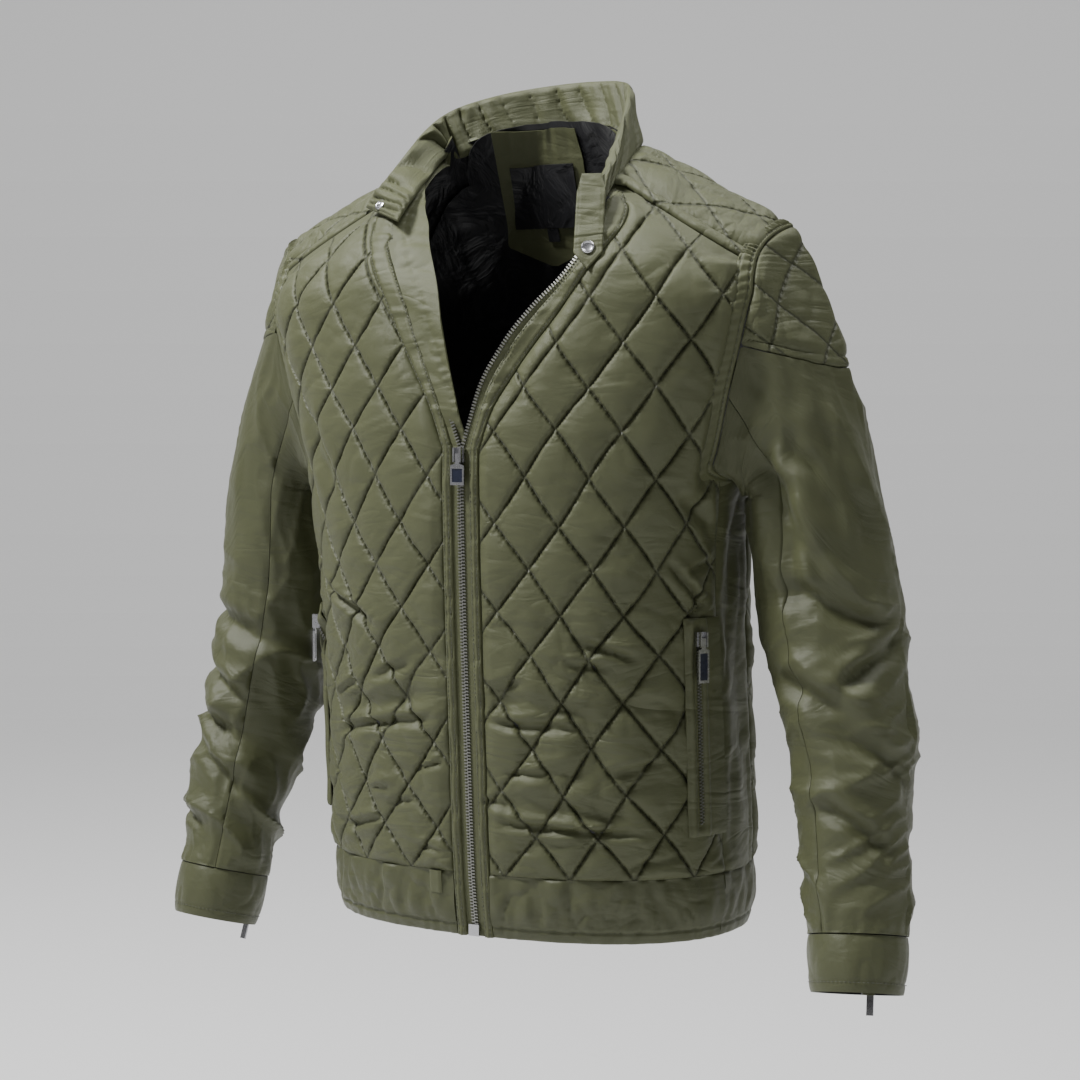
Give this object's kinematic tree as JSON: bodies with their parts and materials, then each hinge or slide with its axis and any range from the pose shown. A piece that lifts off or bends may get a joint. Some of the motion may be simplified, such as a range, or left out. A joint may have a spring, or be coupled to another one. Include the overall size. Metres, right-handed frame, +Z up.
{
  "type": "quilted jacket",
  "caption": "Padded zip-front jacket with a diamond-quilted body, plain sleeves, a stand collar and zip pockets, filled out as worn and open at the neck.",
  "frame": {"origin": "between the shoulders at the base of the neck, where a wearer's shoulders carry it", "axes": "+Z up, the jacket's front faces -Y, +X is the wearer's left"},
  "size_m": [0.6564, 0.2685, 0.7215],
  "materials": {
    "quilted_shell": "satin olive",
    "satin_lining": "black satin",
    "zip_tape": "woven tape",
    "zip_steel": "polished"
  },
  "bodies": {
    "jacket": {"back": "quilted_shell", "collar": "quilted_shell", "collar_tab": "quilted_shell", "cuff_left": "quilted_shell", "cuff_right": "quilted_shell", "cuff_slider_left": "zip_steel", "cuff_slider_right": "zip_steel", "cuff_tape_left": "zip_tape", "cuff_tape_right": "zip_tape", "front_left": "quilted_shell", "front_right": "quilted_shell", "label": "satin_lining", "lining_back": "satin_lining", "main_slider": "zip_steel", "neck_facing": "quilted_shell", "placket_left": "quilted_shell", "placket_right": "quilted_shell", "pocket_patch_left": "quilted_shell", "pocket_patch_right": "quilted_shell", "pocket_slider_left": "zip_steel", "pocket_slider_right": "zip_steel", "pocket_tape_left": "zip_tape", "pocket_tape_right": "zip_tape", "shoulder_patch_left": "quilted_shell", "shoulder_patch_right": "quilted_shell", "side_left": "quilted_shell", "side_right": "quilted_shell", "size_tab": "satin_lining", "sleeve_top_left": "quilted_shell", "sleeve_top_right": "quilted_shell", "sleeve_under_left": "quilted_shell", "sleeve_under_right": "quilted_shell", "snap_cap": "zip_steel", "snap_stud": "zip_steel", "waistband_back": "quilted_shell", "waistband_left": "quilted_shell", "waistband_right": "quilted_shell", "wind_flap": "quilted_shell", "yoke_left": "quilted_shell", "yoke_right": "quilted_shell", "zip_box": "zip_steel", "zip_tape_left": "zip_tape", "zip_tape_right": "zip_tape"},
    "main_pull": {"main_pull": "zip_steel"},
    "pocket_pull_left": {"pocket_pull_left": "zip_steel"},
    "pocket_pull_right": {"pocket_pull_right": "zip_steel"},
    "cuff_pull_left": {"cuff_pull_left": "zip_steel"},
    "cuff_pull_right": {"cuff_pull_right": "zip_steel"}
  },
  "joints": [
    {"name": "main_pull_hinge", "type": "hinge", "parent": "jacket", "child": "main_pull", "pos_m": [0.005, -0.11769, -0.234], "axis": [-1, 0, 0], "range_deg": [0, 150]},
    {"name": "pocket_pull_left_hinge", "type": "hinge", "parent": "jacket", "child": "pocket_pull_left", "pos_m": [0.17591, -0.04271, -0.373], "axis": [-0.4511, -0.8925, 0], "range_deg": [0, 150]},
    {"name": "pocket_pull_right_hinge", "type": "hinge", "parent": "jacket", "child": "pocket_pull_right", "pos_m": [-0.17606, -0.04244, -0.373], "axis": [-0.4301, 0.9028, 0], "range_deg": [0, 150]},
    {"name": "cuff_pull_left_hinge", "type": "hinge", "parent": "jacket", "child": "cuff_pull_left", "pos_m": [0.28701, 0.02188, -0.62988], "axis": [0.9887, 0.1426, 0.0472], "range_deg": [0, 140]},
    {"name": "cuff_pull_right_hinge", "type": "hinge", "parent": "jacket", "child": "cuff_pull_right", "pos_m": [-0.28701, 0.02188, -0.62988], "axis": [0.9887, -0.1426, -0.0472], "range_deg": [0, 140]}
  ]
}
